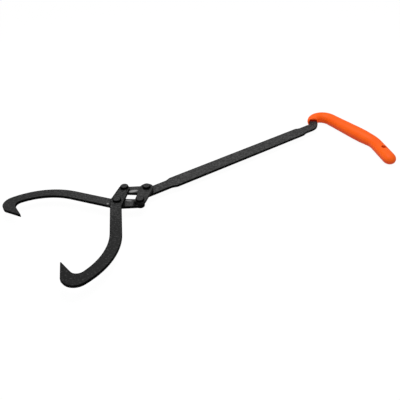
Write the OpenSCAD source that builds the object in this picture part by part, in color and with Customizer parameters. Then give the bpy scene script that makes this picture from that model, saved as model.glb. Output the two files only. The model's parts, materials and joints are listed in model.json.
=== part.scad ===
// Pulling tongs for small logs: two hook jaws on a four-rivet linkage of flat steel,
// a long draw bar, and a moulded cross grip that lies in the plane of the tool.
// Drawn lying flat: X runs along the draw bar towards the grip, Z is square to the plates,
// and the origin is in the middle of the hanging hole near the grip's free end.

/* [Plates and rivets] */
// Thickness of the flat steel that the bar, links and jaws are cut from
plate_t = 5; // [4:0.5:7]
// Free play between plates that turn on each other
plate_gap = 0.3; // [0.1:0.1:0.5]
// Width of the links and of the jaws round their rivets
eye_w = 24.8; // [22:0.2:27]
// Radius of the links' and jaws' ends round the two outer rivets
end_r = 10; // [9:0.2:12]
// How far those ends are drawn in behind the rivet
end_in = 2; // [0:0.2:3]
// Distance between the two rivets of each link
link_pitch = 41.6; // [38:0.2:48]
// Diameter of the rivet shanks
shank_d = 8; // [6:0.5:10]
// Diameter of the rivet heads
head_d = 15.4; // [12:0.5:17]
// Height of the rivet heads underneath
foot_h = 3; // [2.4:0.2:5]
// Height of the rivet heads on top
head_h = 4.2; // [3:0.2:6]
// Radius round the edge of the rivet heads
head_r = 1.8; // [0.4:0.1:2]
// Radial clearance where a plate turns on a rivet
turn_fit = 0.06; // [0.03:0.01:0.1]
// Radial clearance where a rivet is fast in its plate
fast_fit = 0.01; // [0.01:0.01:0.02]

/* [Rest position] */
// Half of the angle between the jaws' short ends
open_angle = 39.5; // [30:0.5:50]
// Angle between the draw bar and the centre line of the jaws
head_angle = 4; // [-20:1:20]

/* [Jaws] */
// Bend of each jaw at the middle rivet
elbow_angle = 19.5; // [14:0.5:26]
// Width of the jaws along the leg and the bow
leg_w = 20; // [17:0.5:23]
// Straight run of the leg, from the middle rivet to the bow
leg_run = 90.8; // [70:0.2:110]
// Outer radius of the bow
bow_r = 122.7; // [110:0.1:150]
// Turn of the bow along its outer edge
bow_angle = 54.2; // [50:0.1:60]
// How much less the inner edge of the bow turns
ease_angle = 4; // [2:0.5:6]
// Outer radius of the hook
hook_r = 23.2; // [18:0.2:25]
// Inner radius of the hook
throat_r = 13; // [8:0.5:14]
// Straight run between the bow and the hook on the outer edge
hook_run = 3.4; // [2:0.2:10]
// Turn from the leg to the spike
spike_angle = 145.2; // [142:0.2:150]
// Width across the root of the spike
spike_w = 19.2; // [17:0.2:22]
// Outer edge of the hook, from its virtual corner to the cut
heel_len = 30.4; // [29:0.2:38]
// Angle of the cut that sharpens the spike
cut_angle = 30; // [25:1:36]
// Radius where the cut meets the outer edge
heel_r = 6; // [3:0.5:9]
// Radius in the inside of the bend at the middle rivet
crotch_r = 14; // [5:1:20]
// Radius of the spike's point
tip_r = 0.8; // [0.6:0.1:1.5]

/* [Draw bar] */
// Width of the draw bar
bar_w = 30; // [27:1:36]
// Width of the necks at both ends of the bar
neck_w = 22.6; // [20:0.2:24]
// From the bar's rivet to the end of the front neck
front_neck = 49.6; // [47:0.2:60]
// From the bar's rivet to the start of the rear neck
bar_len = 424; // [350:1:500]
// Length of each shoulder between neck and bar
shoulder_len = 10; // [7:0.5:14]
// Radius of the shoulders' curves
shoulder_r = 12; // [8:0.5:14]
// Rear neck, up to the corner where the tang bends away
rear_neck = 44.4; // [40:0.2:70]
// Angle that the tang bends away from the bar
tang_angle = 52; // [45:1:60]
// Radius round the outside of the tang's bend
tang_r = 45; // [35:1:48]
// Radius in the inside of the tang's bend
tang_in_r = 10; // [5:1:14]
// Width of the tang
tang_w = 18; // [14:0.5:19]
// From the bend's corner to the mouth of the grip
tang_len = 22.7; // [20:0.1:40]
// How far the tang runs on along the palm
tang_reach = 40; // [20:5:100]
// Clearance round the tang in the grip
tang_fit = 0.02; // [0.01:0.01:0.05]

/* [Grip] */
// Straight start of the grip, behind its mouth
mouth_run = 3; // [2:0.5:8]
// Centre line radius of the turn behind the mouth
crook_r = 24.8; // [23:0.2:30]
// Angle of that turn
crook_angle = 147; // [140:1:155]
// Straight length under the palm
palm_len = 123.6; // [100:0.2:150]
// Centre line radius of the knee before the tail
knee_r = 57; // [40:1:80]
// Angle of the knee
knee_angle = 24; // [15:1:30]
// Straight length of the tail
tail_len = 57.5; // [50:0.5:80]
// Length of the rounded end
cap_len = 18; // [12:0.5:22]
// Width of the grip at its mouth
mouth_w = 25; // [24:0.5:28]
// Width where the palm starts
palm_w = 29.8; // [27:0.2:33]
// Greatest width, towards the knee
swell_w = 32.8; // [30:0.2:36]
// From the start of the palm to the greatest width
swell_at = 94; // [80:1:104]
// Width of the tail
tail_w = 27.4; // [25:0.2:30]
// Height of the grip in parts of its width
grip_flat = 0.89; // [0.84:0.01:1]
// Radius round the edge of the mouth
lip_r = 2; // [1:0.2:3]
// Radius of the hanging hole
hole_r = 5; // [3.5:0.5:6]
// From the start of the tail to the hanging hole
hole_pos = 30; // [20:1:40]

/* [Hidden] */
$fn = 96;
steel = [0.16, 0.16, 0.17];
rivet_steel = [0.24, 0.24, 0.25];
orange = [1, 0.39, 0.14];

eye_r = eye_w / 2;
// Overlap where two outlines of one plate run into each other
lap = 1;
// How far a straight side starts inside the round end that it runs out of
nip = 0.02;
// Undersides of the three layers of plate. The bar's mid-plane is at Z = 0.
layer_bar = -plate_t / 2;
layer_low = plate_t / 2 + plate_gap;
layer_top = layer_low + plate_t + plate_gap;

function dir(a) = [cos(a), sin(a)];
function unit(v) = v / norm(v);
function left(a) = [-sin(a), cos(a)];
function turned(a, b) = a[0] * b[1] - a[1] * b[0];
// Where the line through p at angle a meets the line through q at angle b
function meet(p, a, q, b) = p + dir(a) * turned(q - p, dir(b)) / turned(dir(a), dir(b));
function ease(t) = t * t * (3 - 2 * t);
// Eased reading of a table of [position, value] rows
function blend(s, rows, i = 0) =
    i >= len(rows) - 1 || s <= rows[i][0] ? rows[i][1]
    : s < rows[i + 1][0] ? rows[i][1] + (rows[i + 1][1] - rows[i][1])
        * ease((s - rows[i][0]) / (rows[i + 1][0] - rows[i][0]))
    : blend(s, rows, i + 1);

// Linkage, with the bar's rivet at [0, 0]: the four rivets make a rhombus
head_dir = head_angle;
at_bar = [0, 0];
at_centre = -2 * link_pitch * cos(open_angle) * dir(head_dir);
at_jaw_top = at_centre + link_pitch * dir(head_dir + open_angle);
at_jaw_under = at_centre + link_pitch * dir(head_dir - open_angle);

// Tang and grip: the centre line bends off the bar and follows the grip
bend_at = bar_len + rear_neck;
mouth_at = [bend_at, -neck_w / 2] + left(tang_angle) * tang_w / 2
    + dir(tang_angle) * (tang_len + neck_w / 2 * tan(tang_angle / 2));
crook_from = mouth_at + dir(tang_angle) * mouth_run;
crook_mid = crook_from - left(tang_angle) * crook_r;
palm_dir = tang_angle - crook_angle;
palm_from = crook_mid + left(palm_dir) * crook_r;
knee_from = palm_from + dir(palm_dir) * palm_len;
knee_mid = knee_from - left(palm_dir) * knee_r;
tail_dir = palm_dir - knee_angle;
tail_from = knee_mid + left(tail_dir) * knee_r;
hole_at = tail_from + dir(tail_dir) * hole_pos;

// Lengths along the grip's centre line
crook_len = crook_r * crook_angle * PI / 180;
knee_len = knee_r * knee_angle * PI / 180;
s_palm = mouth_run + crook_len;
s_knee = s_palm + palm_len;
s_tail = s_knee + knee_len;
s_cap = s_tail + tail_len;
swell_pos = s_palm + swell_at;
width_rows = [[0, mouth_w], [s_palm, palm_w], [swell_pos, swell_w], [s_tail, tail_w], [s_cap, tail_w]];

// Point and direction of the grip's centre line at length s
function line_at(s) =
    s <= mouth_run ? [mouth_at + dir(tang_angle) * s, tang_angle]
    : s <= s_palm ? let (a = tang_angle - (s - mouth_run) / crook_r * 180 / PI)
        [crook_mid + left(a) * crook_r, a]
    : s <= s_knee ? [palm_from + dir(palm_dir) * (s - s_palm), palm_dir]
    : s <= s_tail ? let (a = palm_dir - (s - s_knee) / knee_r * 180 / PI)
        [knee_mid + left(a) * knee_r, a]
    : [tail_from + dir(tail_dir) * (s - s_tail), tail_dir];

// The curve at one corner of an outline, with corner v and its neighbours p and q
function corner_half(p, v, q) = acos(max(-1, min(1, unit(p - v) * unit(q - v)))) / 2;
function corner_run(p, v, q, r) = r / tan(corner_half(p, v, q));
function corner_mid(p, v, q, r) = v + unit(unit(p - v) + unit(q - v)) * r / sin(corner_half(p, v, q));
module corner_curve(p, v, q, r) {
    run = corner_run(p, v, q, r);
    a = v + unit(p - v) * run;
    b = v + unit(q - v) * run;
    intersection() {
        translate(corner_mid(p, v, q, r)) circle(r, $fn = r > 60 ? 360 : 96);
        polygon([a, v, b, (a + b) / 2 + unit((a + b) / 2 - v) * min(0.5, r / 4)]);
    }
}
// Closed outline from anticlockwise rows of [x, y, corner radius]
module outline(rows) {
    n = len(rows);
    pts = [for (c = rows) [c[0], c[1]]];
    prev = [for (i = [0:n - 1]) pts[(i + n - 1) % n]];
    next = [for (i = [0:n - 1]) pts[(i + 1) % n]];
    hollow = [for (i = [0:n - 1]) turned(pts[i] - prev[i], next[i] - pts[i]) < 0];
    difference() {
        union() {
            polygon([for (i = [0:n - 1]) let (v = pts[i], r = rows[i][2])
                each r == 0 ? [v] : let (run = corner_run(prev[i], v, next[i], r))
                    [v + unit(prev[i] - v) * run, v + unit(next[i] - v) * run]]);
            for (i = [0:n - 1]) if (rows[i][2] > 0 && !hollow[i])
                corner_curve(prev[i], pts[i], next[i], rows[i][2]);
        }
        for (i = [0:n - 1]) if (rows[i][2] > 0 && hollow[i])
            corner_curve(prev[i], pts[i], next[i], rows[i][2]);
    }
}
function row(p, r = 0) = [p[0], p[1], r];

// Flat ring between two radii, from angle a0 to angle a1
module ring(r0, r1, a0, a1) {
    reach = r1 * 1.6;
    intersection() {
        difference() {
            circle(r1);
            circle(r0);
        }
        polygon([[0, 0], for (k = [0:3]) reach * dir(a0 + (a1 - a0) * k / 3)]);
    }
}

// Half of the taper between a wide eye and a small end, and their tangent points
taper = asin((eye_r - end_r) / (link_pitch - end_in));
eye_tan = (eye_r - nip) * [sin(taper), cos(taper)];
end_tan = [link_pitch - end_in, 0] + (end_r - nip) * [sin(taper), cos(taper)];

// One link with its wide eye at [0, 0] and its small end along X
module link_outline() {
    circle(eye_r);
    translate([link_pitch - end_in, 0]) circle(end_r);
    polygon([[0, 0], [eye_tan[0], -eye_tan[1]], [end_tan[0], -end_tan[1]], end_tan, eye_tan]);
}

// One jaw with its middle rivet at [0, 0] and its short end along X.
// The leg leaves at 180 + elbow_angle, sweeps round the bow and turns back into the spike.
leg_dir = 180 + elbow_angle;
bow_out = leg_dir - bow_angle;
bow_in = bow_out + ease_angle;
spike_dir = leg_dir - spike_angle;
leg_out = left(leg_dir) * (leg_w - eye_r);
bow_mid = leg_out + dir(leg_dir) * leg_run - left(leg_dir) * bow_r;
throat_bow_r = bow_r - leg_w;
// Corners of the outer edge
bow_corner = bow_mid + dir(leg_dir + 90 - bow_angle / 2) * bow_r / cos(bow_angle / 2);
hook_corner = bow_corner + dir(bow_out) * (bow_r * tan(bow_angle / 2) + hook_run
    + hook_r * tan((bow_out - spike_dir) / 2));
heel_corner = hook_corner + dir(spike_dir) * heel_len;
// Corners of the inner edge
in_half = (bow_angle - ease_angle) / 2;
throat_far = bow_mid + dir(leg_dir + 90 - in_half) * throat_bow_r / cos(in_half);
spike_in = heel_corner - left(spike_dir) * spike_w;
throat_near = meet(throat_far, bow_in, spike_in, spike_dir);
tip = meet(heel_corner, spike_dir - cut_angle, spike_in, spike_dir);
module jaw_outline() {
    crotch = meet(leg_out, leg_dir, [eye_tan[0], -eye_tan[1]], taper);
    outline([
        row(crotch, crotch_r), row([end_tan[0], -end_tan[1]]), row(end_tan), row(eye_tan),
        row(-left(leg_dir) * (eye_r - nip)), row(throat_far, throat_bow_r), row(throat_near, throat_r),
        row(tip, tip_r), row(heel_corner, heel_r), row(hook_corner, hook_r), row(bow_corner, bow_r)
    ]);
    circle(eye_r);
    translate([link_pitch - end_in, 0]) circle(end_r);
}

// Draw bar and tang, as far as the grip's mouth
module bar_outline() {
    n = neck_w / 2;
    b = bar_w / 2;
    mouth_r = mouth_at - left(tang_angle) * tang_w / 2 + dir(tang_angle) * lap;
    mouth_l = mouth_r + left(tang_angle) * tang_w;
    outline([
        row([0, -n]), row([front_neck, -n], shoulder_r), row([front_neck + shoulder_len, -b], shoulder_r),
        row([bar_len - shoulder_len, -b], shoulder_r), row([bar_len, -n], shoulder_r),
        row([bend_at, -n], tang_r), row(mouth_r), row(mouth_l),
        row(meet(mouth_l, tang_angle, [0, n], 0), tang_in_r),
        row([bar_len, n], shoulder_r), row([bar_len - shoulder_len, b], shoulder_r),
        row([front_neck + shoulder_len, b], shoulder_r), row([front_neck, n], shoulder_r), row([0, n])
    ]);
    circle(n);
}
// The tang inside the grip
module tang_outline(fit = 0) {
    w = tang_w / 2 + fit;
    translate(mouth_at) rotate(tang_angle) translate([-lap, -w]) square([mouth_run + lap, 2 * w]);
    translate(crook_mid) ring(crook_r - w, crook_r + w, palm_dir + 90, tang_angle + 90);
    translate(palm_from) rotate(palm_dir) {
        translate([0, -w]) square([tang_reach - w, 2 * w]);
        translate([tang_reach - w, 0]) circle(w);
    }
}

module plate(z) {
    translate([-hole_at[0], -hole_at[1], z]) linear_extrude(plate_t) children();
}
module shank_hole(at, fit) {
    translate(at) circle(shank_d / 2 + fit);
}
// Rivet at a point, through the layers from z0 to z1
module rivet(at, z0, z1) {
    translate([at[0] - hole_at[0], at[1] - hole_at[1], 0]) {
        translate([0, 0, z0 - 0.5]) cylinder(d = shank_d, h = z1 - z0 + 1);
        translate([0, 0, z1]) rivet_head(head_h);
        translate([0, 0, z0]) mirror([0, 0, 1]) rivet_head(foot_h);
    }
}
module rivet_head(h) {
    rotate_extrude() intersection() {
        square([head_d / 2, h]);
        union() {
            square([head_d / 2 - head_r, h]);
            square([head_d / 2, h - head_r]);
            translate([head_d / 2 - head_r, h - head_r]) circle(head_r, $fn = 48);
        }
    }
}

// Grip skin: one oval ring per station along the centre line
ring_n = 32;
lip_rows = [for (k = [0:2]) let (a = 90 * k / 3) [lip_r * (1 - cos(a)), lip_r * (1 - sin(a))]];
body_s = concat([for (k = [1:14]) lip_r + (s_palm - lip_r) * k / 14],
    [for (k = [1:6]) s_palm + palm_len * k / 6],
    [for (k = [1:4]) s_knee + knee_len * k / 4],
    [for (k = [1:3]) s_tail + tail_len * k / 3]);
stations = concat([for (l = lip_rows) [l[0], l[1], 1]], [[lip_r, 0, 1]],
    [for (s = body_s) [s, 0, 1]],
    [for (k = [1:6]) let (a = 90 * k / 6.6) [s_cap + cap_len * sin(a), 0, cos(a)]]);
function skin_ring(st) = let (c = line_at(st[0]), half = blend(st[0], width_rows) / 2 * st[2] - st[1])
    [for (i = [0:ring_n - 1]) let (a = 360 * i / ring_n, side = left(c[1]) * half * cos(a))
        [c[0][0] + side[0], c[0][1] + side[1],
         (half * grip_flat - st[1] * (1 - grip_flat)) * sin(a)]];
module grip_skin() {
    rings = [for (st = stations) skin_ring(st)];
    m = len(rings);
    tip_pt = line_at(s_cap + cap_len)[0];
    pts = concat([for (r = rings) each r], [[tip_pt[0], tip_pt[1], 0]]);
    faces = concat(
        [[for (i = [0:ring_n - 1]) i]],
        [for (k = [0:m - 2], i = [0:ring_n - 1]) let (j = (i + 1) % ring_n, a = k * ring_n, b = a + ring_n)
            each [[a + j, a + i, b + i], [a + j, b + i, b + j]]],
        [for (i = [0:ring_n - 1]) let (a = (m - 1) * ring_n) [a + (i + 1) % ring_n, a + i, m * ring_n]]);
    translate([-hole_at[0], -hole_at[1], 0]) polyhedron(pts, faces, convexity = 6);
}

module draw_bar() {
    color(steel) plate(layer_bar) difference() {
        union() {
            bar_outline();
            tang_outline();
        }
        shank_hole(at_bar, fast_fit);
    }
}
module grip() {
    color(orange) difference() {
        grip_skin();
        translate([-hole_at[0], -hole_at[1], layer_bar - tang_fit])
            linear_extrude(plate_t + 2 * tang_fit) tang_outline(tang_fit);
        cylinder(r = hole_r, h = 2 * swell_w, center = true);
    }
}
module link_top() {
    color(steel) plate(layer_top) difference() {
        rotate(180 + head_dir + open_angle) link_outline();
        shank_hole(at_bar, turn_fit);
        shank_hole(at_jaw_under, fast_fit);
    }
}
module link_under() {
    color(steel) plate(layer_low) difference() {
        rotate(180 + head_dir - open_angle) link_outline();
        shank_hole(at_bar, turn_fit);
        shank_hole(at_jaw_top, turn_fit);
    }
}
module jaw_top() {
    color(steel) plate(layer_top) difference() {
        translate(at_centre) rotate(head_dir + open_angle) jaw_outline();
        shank_hole(at_centre, fast_fit);
        shank_hole(at_jaw_top, fast_fit);
    }
}
module jaw_under() {
    color(steel) plate(layer_low) difference() {
        translate(at_centre) rotate(head_dir - open_angle) mirror([0, 1, 0]) jaw_outline();
        shank_hole(at_centre, turn_fit);
        shank_hole(at_jaw_under, turn_fit);
    }
}
// The bar's rivet is fast in the bar, the other three are fast in the top plates
module rivet_bar() color(rivet_steel)
    rivet(at_bar, layer_bar, layer_top + plate_t + plate_gap);
module rivet_centre() color(rivet_steel)
    rivet(at_centre, layer_low - plate_gap, layer_top + plate_t);
module rivet_jaw_top() color(rivet_steel)
    rivet(at_jaw_top, layer_low - plate_gap, layer_top + plate_t);
module rivet_jaw_under() color(rivet_steel)
    rivet(at_jaw_under, layer_low - plate_gap, layer_top + plate_t);

draw_bar();
grip();
link_top();
link_under();
jaw_top();
jaw_under();
rivet_bar();
rivet_centre();
rivet_jaw_top();
rivet_jaw_under();
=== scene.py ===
import json
from math import sin, cos, radians

import bmesh
import bpy
from mathutils import Matrix, Vector

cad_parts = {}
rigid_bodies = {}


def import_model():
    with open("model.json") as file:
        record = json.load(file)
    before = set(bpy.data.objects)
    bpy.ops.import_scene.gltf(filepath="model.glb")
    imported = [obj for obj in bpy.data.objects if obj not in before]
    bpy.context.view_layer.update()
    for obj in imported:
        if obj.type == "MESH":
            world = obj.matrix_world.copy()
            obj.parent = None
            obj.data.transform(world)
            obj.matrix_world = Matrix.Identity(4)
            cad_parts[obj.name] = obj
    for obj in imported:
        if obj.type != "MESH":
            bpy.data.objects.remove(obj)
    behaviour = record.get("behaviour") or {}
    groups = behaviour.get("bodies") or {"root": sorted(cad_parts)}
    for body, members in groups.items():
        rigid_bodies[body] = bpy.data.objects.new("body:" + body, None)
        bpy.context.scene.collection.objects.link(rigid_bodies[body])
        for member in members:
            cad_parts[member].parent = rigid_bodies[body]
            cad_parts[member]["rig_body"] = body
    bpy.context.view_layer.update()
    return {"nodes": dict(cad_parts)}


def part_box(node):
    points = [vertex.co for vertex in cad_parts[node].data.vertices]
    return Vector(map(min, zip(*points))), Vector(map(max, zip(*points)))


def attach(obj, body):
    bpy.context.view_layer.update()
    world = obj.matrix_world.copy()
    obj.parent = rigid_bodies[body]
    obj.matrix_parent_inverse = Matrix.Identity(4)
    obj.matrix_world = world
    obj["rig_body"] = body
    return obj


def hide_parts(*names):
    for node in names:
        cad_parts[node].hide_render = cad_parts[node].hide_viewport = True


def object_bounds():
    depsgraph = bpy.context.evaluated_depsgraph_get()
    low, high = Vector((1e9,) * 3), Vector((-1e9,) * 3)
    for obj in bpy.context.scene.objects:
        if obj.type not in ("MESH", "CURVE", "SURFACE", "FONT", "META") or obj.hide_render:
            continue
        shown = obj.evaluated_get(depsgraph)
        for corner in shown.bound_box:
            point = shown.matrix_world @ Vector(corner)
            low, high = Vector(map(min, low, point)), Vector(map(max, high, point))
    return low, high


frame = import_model()
scene = bpy.context.scene
scene.view_settings.view_transform = "Standard"
print("tongs: frame loaded with", len(frame["nodes"]), "pieces")


# Lengths on the tool are in millimetres, those of the floor, lamp and camera in metres,
# and the scale of a noise is its number of waves in a metre
def mm(*values):
    return Vector(values) / 1000


def middleOf(node):  # middle of a node's box, in millimetres
    low, high = (Vector(corner) * 1000 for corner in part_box(node))
    return (low + high) / 2


def placed(spot, height):  # a spot with its middle worked out from the piece that it is measured from
    return spot | {"at": (*(middleOf(spot["from"]).xy + Vector(spot["by"])), height)}


def grey(value):
    return (value, value, value, 1)


class Wire:  # one output socket, so that shader maths reads as plain expressions
    def __init__(self, paint, socket):
        self.paint = paint
        self.socket = socket

    def maths(self, operation, first, second):
        return self.paint.node("ShaderNodeMath", {"operation": operation}, {0: first, 1: second})

    def __add__(self, other):
        return self.maths("ADD", self, other)

    def __radd__(self, other):
        return self.maths("ADD", other, self)

    def __sub__(self, other):
        return self.maths("SUBTRACT", self, other)

    def __rsub__(self, other):
        return self.maths("SUBTRACT", other, self)

    def __mul__(self, other):
        return self.maths("MULTIPLY", self, other)

    def __rmul__(self, other):
        return self.maths("MULTIPLY", other, self)

    def __or__(self, other):  # the larger of two masks
        return self.maths("MAXIMUM", self, other)


class Paint:  # the nodes of one material, or of the world
    def __init__(self, owner):
        self.owner = owner
        self.owner.use_nodes = True
        self.tree = owner.node_tree
        self.tree.nodes.clear()

    def node(self, kind, settings=None, values=None, output=0):
        made = self.tree.nodes.new(kind)
        for key, value in (settings or {}).items():
            setattr(made, key, value)
        for key, value in (values or {}).items():
            if isinstance(value, Wire):
                self.tree.links.new(value.socket, made.inputs[key])
            else:
                made.inputs[key].default_value = value
        return Wire(self, made.outputs[output] if made.outputs else None)

    def vector(self, operation, first, second=None):
        values = {0: first} if second is None else {0: first, 1: second}
        output = "Value" if operation in ("DOT_PRODUCT", "DISTANCE", "LENGTH") else "Vector"
        return self.node("ShaderNodeVectorMath", {"operation": operation}, values, output)

    def place(self):
        return self.node("ShaderNodeTexCoord", output="Object")

    def upward(self):  # 1 where the surface faces up, -1 where it faces down
        return self.vector("DOT_PRODUCT", self.node("ShaderNodeTexCoord", output="Normal"), (0, 0, 1))

    def noise(self, scale, detail=3, roughness=0.5):
        return self.node("ShaderNodeTexNoise", {"noise_dimensions": "3D"}, {
            "Vector": self.place(), "Scale": scale, "Detail": detail, "Roughness": roughness}, "Fac")

    def band(self, value, low, high):  # 0 below low, 1 above high
        return self.node("ShaderNodeMapRange", {"interpolation_type": "SMOOTHSTEP"}, {
            "Value": value, "From Min": low, "From Max": high})

    def spot(self, spec):  # place in a spot's own frame, turned about Z, in parts of its half sizes
        offset = self.vector("SUBTRACT", self.place(), mm(*spec["at"]))
        turned = self.node("ShaderNodeVectorRotate", {"rotation_type": "Z_AXIS"}, {
            "Vector": offset, "Angle": -radians(spec["turn"])})
        return self.vector("DIVIDE", turned, mm(*spec["size"]))

    def blotch(self, spec, edge, ragged=0):  # 1 in the middle of a round spot, 0 past its edge
        return 1 - self.band(self.vector("LENGTH", self.spot(spec)) + ragged, *edge)

    def blend(self, factor, first, second):
        return self.node("ShaderNodeMix", {"data_type": "RGBA"}, {"Factor": factor, 6: first, 7: second}, 2)

    def bump(self, height, strength, depth=0.2):
        return self.node("ShaderNodeBump", None, {
            "Strength": strength, "Distance": depth / 1000, "Height": height})

    def coat(self, colour, roughness, gloss, bump):
        return self.node("ShaderNodeBsdfPrincipled", None, {
            "Base Color": colour, "Roughness": roughness, "Specular IOR Level": gloss, "Normal": bump})

    def mix(self, factor, first, second):
        return self.node("ShaderNodeMixShader", None, {0: factor, 1: first, 2: second})

    def finish(self, shader, kind="ShaderNodeOutputMaterial"):
        self.node(kind, None, {"Surface": shader})
        return self.owner


# Each piece is the frame's own mesh, merged, with its edges rounded

meshSpec = {"merge": 0.001, "flatAngle": 0.5, "sharpAngle": 40}


def beveled(node, look, material):
    source = frame["nodes"][node]
    work = bmesh.new()
    work.from_mesh(source.data)
    bmesh.ops.remove_doubles(work, verts=work.verts, dist=meshSpec["merge"] / 1000)
    flatAngle = radians(meshSpec["flatAngle"])
    bmesh.ops.dissolve_limit(work, angle_limit=flatAngle, verts=work.verts, edges=work.edges)
    mesh = bpy.data.meshes.new(node + "Shown")
    work.to_mesh(mesh)
    work.free()
    piece = bpy.data.objects.new(node + "Shown", mesh)
    scene.collection.objects.link(piece)
    bevel = piece.modifiers.new("roundedEdges", "BEVEL")
    bevel.width = look["bevel"] / 1000
    bevel.segments = look["bevelSteps"]
    bevel.limit_method = "ANGLE"
    bevel.angle_limit = radians(meshSpec["sharpAngle"])
    bevel.harden_normals = True
    mesh.materials.clear()
    mesh.materials.append(material)
    for face in mesh.polygons:
        face.use_smooth = True
    mesh.set_sharp_from_angle(angle=radians(meshSpec["sharpAngle"]))
    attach(piece, source["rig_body"])
    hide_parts(node)
    return piece


# Satin black paint over flat steel

steelLook = {
    "bevel": 0.9, "bevelSteps": 3,
    "face": 0.001, "faceRoughness": 0.5, "faceGloss": 0.3, "bump": 0.35, "speckBump": 0.6, "cloudBump": 0.4,
    "cloud": 0.037, "cloudScale": 360, "cloudSpan": (0.43, 0.63), "speckScale": 900, "speckRoughness": 0.12,
    "edge": 0.0014, "edgeRoughness": 0.8, "edgeGloss": 0.04,
    "rim": 2, "rimSpan": (0.92, 0.9995), "flatSpan": (0.6, 0.995),
    "glintGrey": 0.36, "glintEdge": (0.55, 1.1), "glintRagged": 0.5, "shadowEdge": (0.6, 1.1), "shadowRagged": 0.3,
    "hookShade": 0, "hookShadeFrom": "rivet_centre", "hookShadeSpan": (20, 90),
}


def steelPaint(name, look, glints=(), paintedShadows=()):
    paint = Paint(bpy.data.materials.new(name))
    specks = paint.noise(look["speckScale"], detail=2, roughness=0.6)
    # painted shade: walls and the rims of rounded edges take the dark edge colour and a rougher, duller
    # coat
    level = paint.node("ShaderNodeMath", {"operation": "ABSOLUTE"}, {0: paint.upward()})
    rounded = paint.node("ShaderNodeBevel", {"samples": 8}, {"Radius": look["rim"] / 1000})
    kept = paint.vector("DOT_PRODUCT", rounded, paint.node("ShaderNodeNewGeometry", output="Normal"))
    shadedSide = 1 - paint.band(level, *look["flatSpan"]) * paint.band(kept, *look["rimSpan"])
    for paintedShadow in paintedShadows:  # painted shadows beside the plate that lies above
        paintedShade = paint.blotch(paintedShadow, look["shadowEdge"], look["shadowRagged"] * (specks - 0.5))
        shadedSide = shadedSide | paintedShade * paintedShadow["strength"]
    clouds = paint.noise(look["cloudScale"], detail=4, roughness=0.6)
    if look["hookShade"]:  # painted shade: the jaws darken towards the hooks
        away = paint.vector("DISTANCE", paint.place(), mm(*middleOf(look["hookShadeFrom"])))
        clouds = clouds - look["hookShade"] * paint.band(away, *mm(*look["hookShadeSpan"]))
    cover = paint.band(clouds, *look["cloudSpan"])
    colour = paint.blend(cover, grey(look["face"]), grey(look["face"] + look["cloud"]))
    for glint in glints:  # painted highlights: light glinting spots on the face
        glinting = paint.blotch(glint, look["glintEdge"], look["glintRagged"] * (specks - 0.5))
        colour = paint.blend(glinting * glint["strength"] * (1 - shadedSide), colour, grey(look["glintGrey"]))
    colour = paint.blend(shadedSide, colour, grey(look["edge"]))
    grain = look["speckBump"] * paint.noise(look["speckScale"], detail=3, roughness=0.6)
    waves = look["cloudBump"] * paint.noise(look["cloudScale"] * 2, detail=2)
    bump = paint.bump(grain + waves, look["bump"])
    faceRoughness = look["faceRoughness"] + look["speckRoughness"] * (specks - 0.5)
    face = paint.coat(colour, faceRoughness, look["faceGloss"], bump)
    edge = paint.coat(colour, look["edgeRoughness"], look["edgeGloss"], bump)
    return paint.finish(paint.mix(shadedSide, face, edge))


# Each plate's own look, and its painted highlights and painted shadows: place from a rivet's middle, half
# sizes, turn about Z in degrees, strength
plateSpec = {
    "draw_bar": {
        "look": {"face": 0.005, "cloud": 0.041, "cloudScale": 290},
        "glints": (),
        "paintedShadows": ()},
    "link_top": {
        "look": {"cloud": 0.031, "edge": 0.007, "edgeGloss": 0.12, "rim": 1.1},
        "glints": (),
        "paintedShadows": ()},
    "link_under": {
        "look": {"rim": 1.5},
        "glints": (
            {"from": "rivet_bar", "by": (-23.3, 10.8), "size": (10.5, 4, 5), "turn": -20,
             "strength": 0.7},),
        "paintedShadows": ()},
    "jaw_top": {
        "look": {"face": 0.002, "faceGloss": 0.18, "cloudScale": 300, "cloudSpan": (0.4, 0.62), "hookShade": 0.1,
                 "rim": 2.2},
        "glints": (
            {"from": "rivet_centre", "by": (-16.1, -9.7), "size": (1.6, 1.6, 3), "turn": 0,
             "strength": 0.22},),
        "paintedShadows": ()},
    "jaw_under": {
        "look": {"face": 0.004, "cloud": 0.038, "hookShade": 0.06, "hookShadeSpan": (20, 200), "rim": 2.2},
        "glints": (
            {"from": "rivet_centre", "by": (19.7, -6.4), "size": (7, 2.6, 4), "turn": -45,
             "strength": 0.42},
            {"from": "rivet_centre", "by": (-15.2, 8), "size": (2.4, 2.6, 3), "turn": 0,
             "strength": 0.5}),
        "paintedShadows": (
            {"from": "rivet_centre", "by": (7.2, -10), "size": (13, 3.5, 4), "turn": 62,
             "strength": 0.9},
            {"from": "rivet_jaw_under", "by": (-10.2, 2), "size": (11, 3.8, 4), "turn": 62,
             "strength": 0.9})},
}
for node, spec in plateSpec.items():
    look = steelLook | spec["look"]
    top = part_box(node)[1][2] * 1000
    glints, paintedShadows = ([placed(spot, top) for spot in spec[kind]] for kind in ("glints", "paintedShadows"))
    shown = beveled(node, look, steelPaint(node + "Paint", look, glints, paintedShadows))
    print("tongs: plate", node)

# Rivets

# the rivets' wide rim paints the dark rings round the heads as shade
rivetLook = steelLook | {
    "bevel": 0.5, "bevelSteps": 2, "face": 0.003, "cloud": 0.028, "cloudScale": 500, "speckScale": 1400,
    "edge": 0.001, "rim": 4.2, "flatSpan": (0.93, 0.995),
}
rivetMaterial = steelPaint("rivetPaint", rivetLook)
for node in ("rivet_bar", "rivet_centre", "rivet_jaw_top", "rivet_jaw_under"):
    shown = beveled(node, rivetLook, rivetMaterial)
print("tongs: rivets")

# Orange grip

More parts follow.
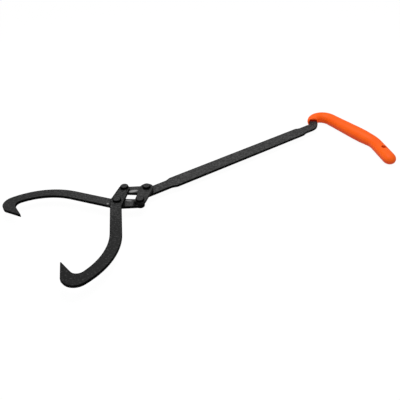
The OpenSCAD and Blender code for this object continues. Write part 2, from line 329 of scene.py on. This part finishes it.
gripLook = {
    "bevel": 0.6, "bevelSteps": 2,
    "orange": (0.96, 0.124, 0.004, 1), "deep": (0.93, 0.086, 0.002, 1), "deepShare": 0.5,
    "toneScale": 35, "toneSpan": (0.3, 0.75), "roughness": 0.5, "gloss": 0.17,
    "grainScale": 2600, "grainRoughness": 0.1, "bump": 0.25,
    "shadeRed": (0.6, 0.034, 0.006, 1), "undersideShadeShare": 0.65, "undersideShadeSpan": (-0.55, 0.5),
    "leastUndersideShade": 0.2, "shadeFadeSpan": (20, 55),
    "hole": {"at": (0, 0, 0), "size": (6.9, 6.9, 30), "turn": 0},  # the hole stands at the origin
    "holeEdge": (0.8, 1.02), "holeFacing": (0.4, 0.8), "holeShade": 0.7,
    "mouth": {"from": "grip", "by": (-23.3, 101.54), "size": (0.8, 9.4, 7.9), "turn": 52},
    "mouthEdge": (0.88, 1.02),
    "dark": (0.3, 0.003, 0.001, 1), "darkRoughness": 0.8, "darkGloss": 0.02, "shadeNoiseScale": 500,
    "shadeNoiseShare": 0.15,
}


def gripPlastic(look):
    paint = Paint(bpy.data.materials.new("gripPlastic"))
    mouth = placed(look["mouth"], 0)
    upward = paint.upward()
    tone = paint.band(paint.noise(look["toneScale"]), *look["toneSpan"])
    colour = paint.blend(tone * look["deepShare"], look["orange"], look["deep"])
    below = 1 - paint.band(upward, *look["undersideShadeSpan"])
    fromMouth = paint.vector("DISTANCE", paint.place(), mm(*mouth["at"]))
    farFromMouth = paint.band(fromMouth, *mm(*look["shadeFadeSpan"]))
    undersideShade = below * (look["leastUndersideShade"] + (1 - look["leastUndersideShade"]) * farFromMouth)  # painted shade on the underside, least near the mouth
    colour = paint.blend(look["undersideShadeShare"] * undersideShade, colour, look["shadeRed"])
    # painted shade: a darker ring round the hole on the upper faces
    ring = paint.blotch(look["hole"], look["holeEdge"]) * paint.band(upward, *look["holeFacing"])
    colour = paint.blend(look["holeShade"] * ring, colour, look["shadeRed"])
    grain = paint.noise(look["grainScale"], detail=2, roughness=0.6)
    bump = paint.bump(grain, look["bump"])
    roughness = look["roughness"] + look["grainRoughness"] * (grain - 0.5)
    plastic = paint.coat(colour, roughness, look["gloss"], bump)
    paintedShade = paint.blend(look["shadeNoiseShare"] * paint.noise(look["shadeNoiseScale"]), look["dark"], look["deep"])
    dark = paint.coat(paintedShade, look["darkRoughness"], look["darkGloss"], bump)
    apart = paint.vector("ABSOLUTE", paint.spot(mouth))
    along, across, above = (paint.node("ShaderNodeSeparateXYZ", None, {0: apart}, axis) for axis in "XYZ")
    slot = 1 - paint.band(along | across | above, *look["mouthEdge"])  # painted shade: the end face is dark round the tang
    return paint.finish(paint.mix(slot, plastic, dark))


beveled("grip", gripLook, gripPlastic(gripLook))
print("tongs: grip")

# Floor, light and camera

floorSpec = {
    "size": 12, "at": (-0.25, 0.05), "below": 0.0003, "tone": 0.8, "glow": 1.05, "seenGlow": 0.92,
    "mirroredShare": 0.5,
}
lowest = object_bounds()[0][2]
floorAt = (*floorSpec["at"], lowest - floorSpec["below"])
bpy.ops.mesh.primitive_plane_add(size=floorSpec["size"], location=floorAt)
floor = bpy.context.object
floor.name = "floor"
paint = Paint(bpy.data.materials.new("floorWhite"))
seen = paint.node("ShaderNodeLightPath", output="Is Camera Ray")
mirrored = paint.node("ShaderNodeLightPath", output="Is Glossy Ray")
glowing = floorSpec["seenGlow"] * (seen + floorSpec["mirroredShare"] * mirrored)
diffuse = paint.node("ShaderNodeBsdfDiffuse", None, {"Color": grey(floorSpec["tone"])})
glow = paint.node("ShaderNodeEmission", None, {"Color": grey(1), "Strength": floorSpec["glow"]})
floor.data.materials.append(paint.finish(paint.mix(glowing, diffuse, glow)))

lightSpec = {
    "world": 0.5, "backdrop": 1, "keyPower": 7.2, "keySize": 0.6, "keyAt": (-0.22, 0.32, 0.95),
    "aim": (-0.3, 0.1, 0),
}
paint = Paint(bpy.data.worlds.new("studio"))
seen = paint.node("ShaderNodeLightPath", output="Is Camera Ray")
soft, backdrop = (paint.node("ShaderNodeBackground", None, {
    "Color": grey(1), "Strength": lightSpec[name]}) for name in ("world", "backdrop"))
scene.world = paint.finish(paint.mix(seen, soft, backdrop), "ShaderNodeOutputWorld")

key = bpy.data.objects.new("key", bpy.data.lights.new("key", "AREA"))
key.data.energy = lightSpec["keyPower"]
key.data.size = lightSpec["keySize"]
key.location = lightSpec["keyAt"]
key.rotation_euler = (Vector(lightSpec["aim"]) - key.location).to_track_quat("-Z", "Y").to_euler()
scene.collection.objects.link(key)
print("tongs: light")

# The camera stands where the photograph was taken, worked out from the middle rivet
cameraSpec = {
    "azimuth": 35.879, "elevation": 36.319, "roll": 0.384, "focalPixels": 429.445, "imagePixels": 400,
    "rivet": "rivet_centre", "rivetPixel": (117.866, 206.181), "metresPerPixel": 0.00182, "sensorWidth": 36,
    "nearest": 0.01, "farthest": 50,
}
turn, tilt, roll = (radians(cameraSpec[name]) for name in ("azimuth", "elevation", "roll"))
flatRight = Vector((cos(turn), -sin(turn), 0))
flatUp = Vector((sin(tilt) * sin(turn), sin(tilt) * cos(turn), cos(tilt)))
back = Vector((-cos(tilt) * sin(turn), -cos(tilt) * cos(turn), sin(tilt)))
right = cos(roll) * flatRight - sin(roll) * flatUp
up = sin(roll) * flatRight + cos(roll) * flatUp
step = cameraSpec["metresPerPixel"]
middle = cameraSpec["imagePixels"] / 2
rivetRight = (cameraSpec["rivetPixel"][0] - middle) * step
rivetUp = (middle - cameraSpec["rivetPixel"][1]) * step
distance = cameraSpec["focalPixels"] * step
rivet = mm(*middleOf(cameraSpec["rivet"]).xy, 0)
stand = rivet - rivetRight * right - rivetUp * up + distance * back
camera = bpy.data.objects.new("camera", bpy.data.cameras.new("camera"))
camera.data.sensor_fit = "HORIZONTAL"
camera.data.sensor_width = cameraSpec["sensorWidth"]
camera.data.lens = cameraSpec["focalPixels"] / cameraSpec["imagePixels"] * cameraSpec["sensorWidth"]
camera.data.clip_start = cameraSpec["nearest"]
camera.data.clip_end = cameraSpec["farthest"]
camera.matrix_world = Matrix.Translation(stand) @ Matrix((right, up, back)).transposed().to_4x4()
scene.collection.objects.link(camera)
scene.camera = camera
print("tongs: camera at", [round(v, 4) for v in stand])
